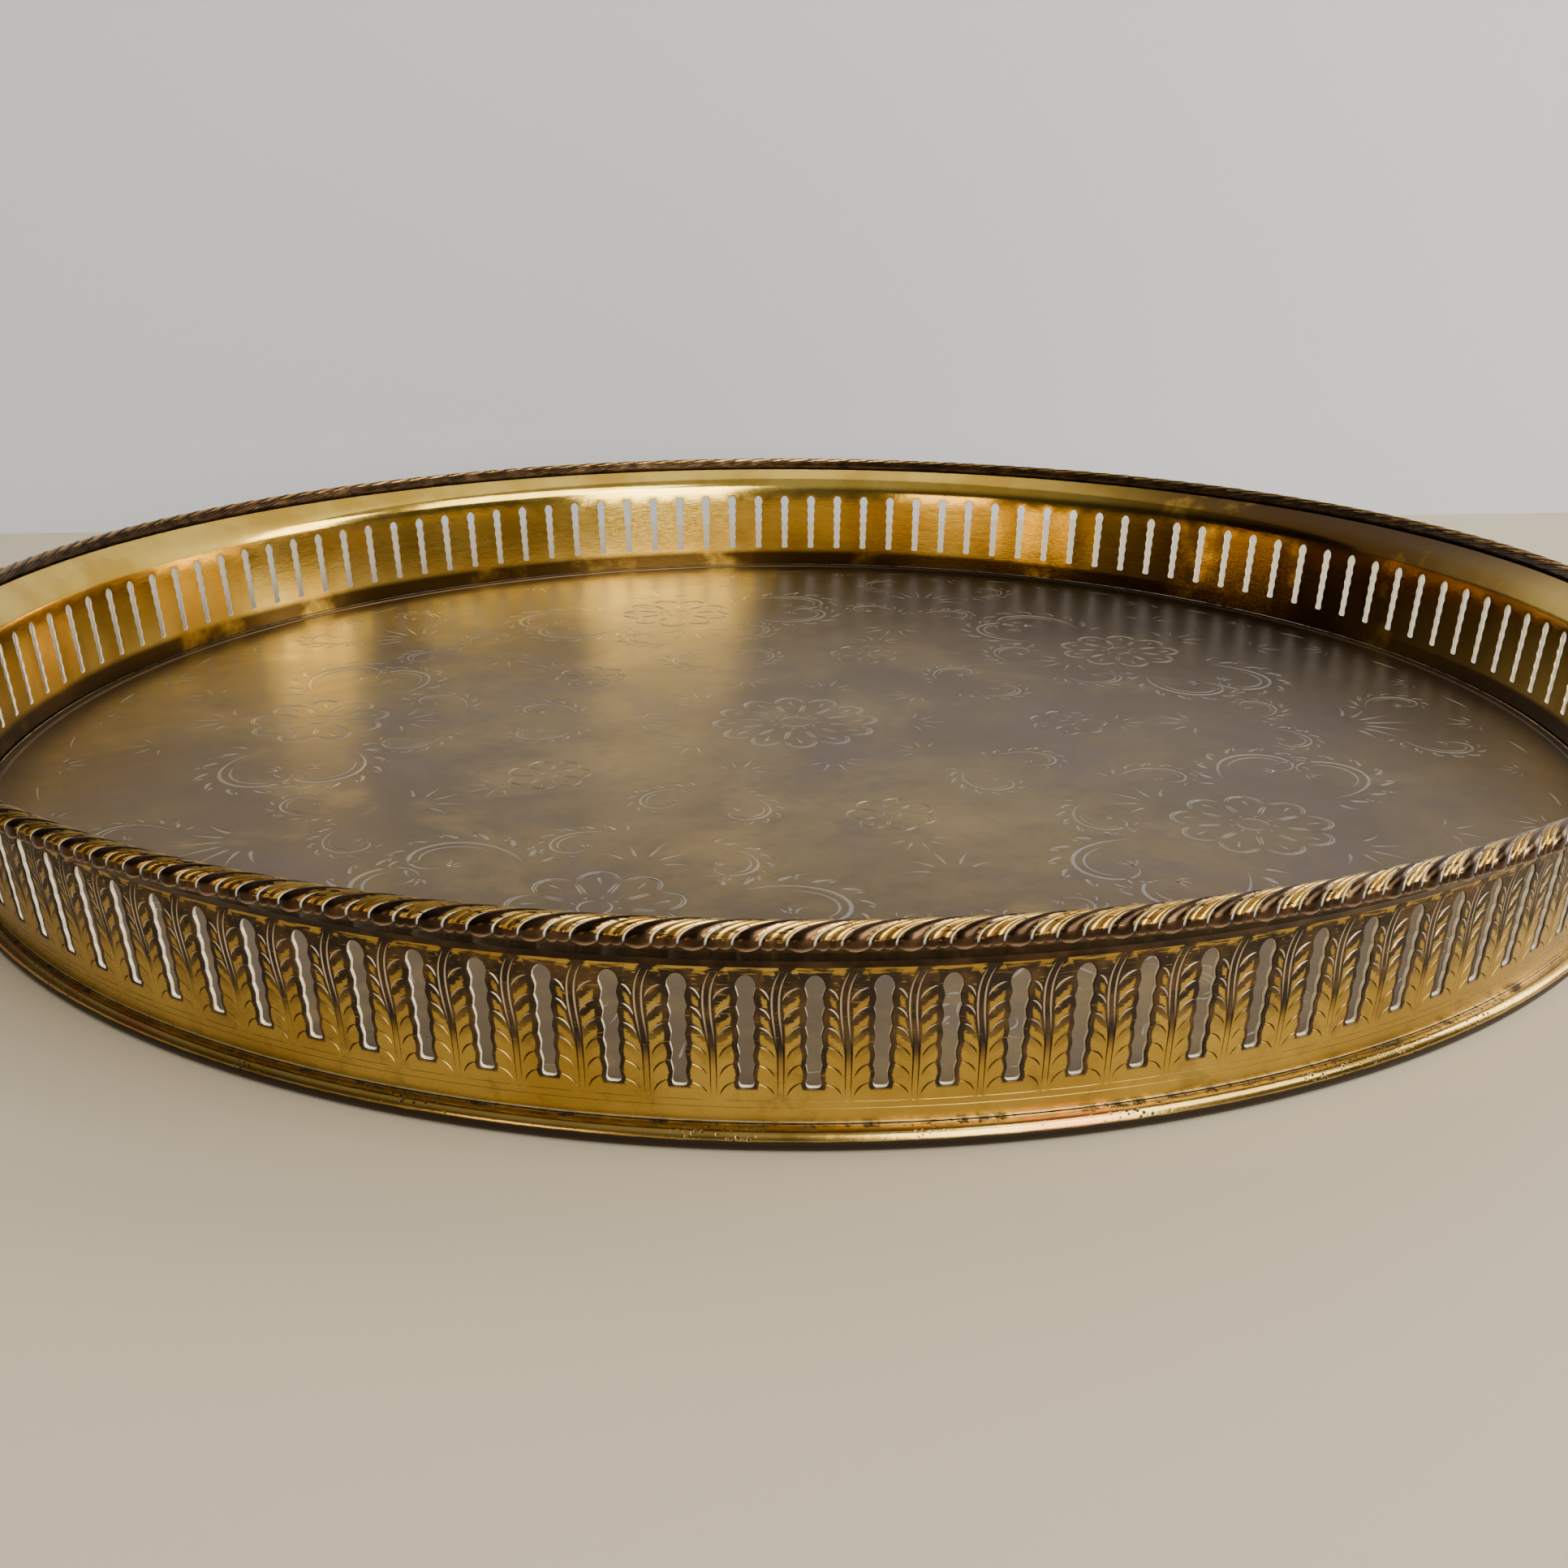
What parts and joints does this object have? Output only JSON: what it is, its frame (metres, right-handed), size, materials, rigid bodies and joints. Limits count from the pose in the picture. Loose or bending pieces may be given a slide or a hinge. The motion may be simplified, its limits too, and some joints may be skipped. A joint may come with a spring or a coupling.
{
  "type": "gallery tray",
  "caption": "Round brass gallery tray: flat floor, upright pierced gallery of narrow slots, gadrooned rolled border and half-round base moulding.",
  "frame": {"origin": "centre of the tray on the surface that it stands on", "axes": "+Z is the tray's axis, pointing up out of the open top; +X and +Y are any two radii of the round tray"},
  "size_m": [0.3298, 0.3298, 0.0329],
  "materials": {
    "floor_brass": "tarnished, satin, mottled olive and brown, engraved",
    "moulding_brass": "polished by handling",
    "gallery_brass": "semi-polished with brown patina round the pierced slots",
    "border_brass": "worn gold ridges over brown patina",
    "wire_brass": "drawn, unpolished"
  },
  "bodies": {
    "root": {"floor_plate": "floor_brass", "base_moulding": "moulding_brass", "gallery_band": "gallery_brass", "gadroon_border": "border_brass", "border_wire": "wire_brass"}
  },
  "joints": []
}
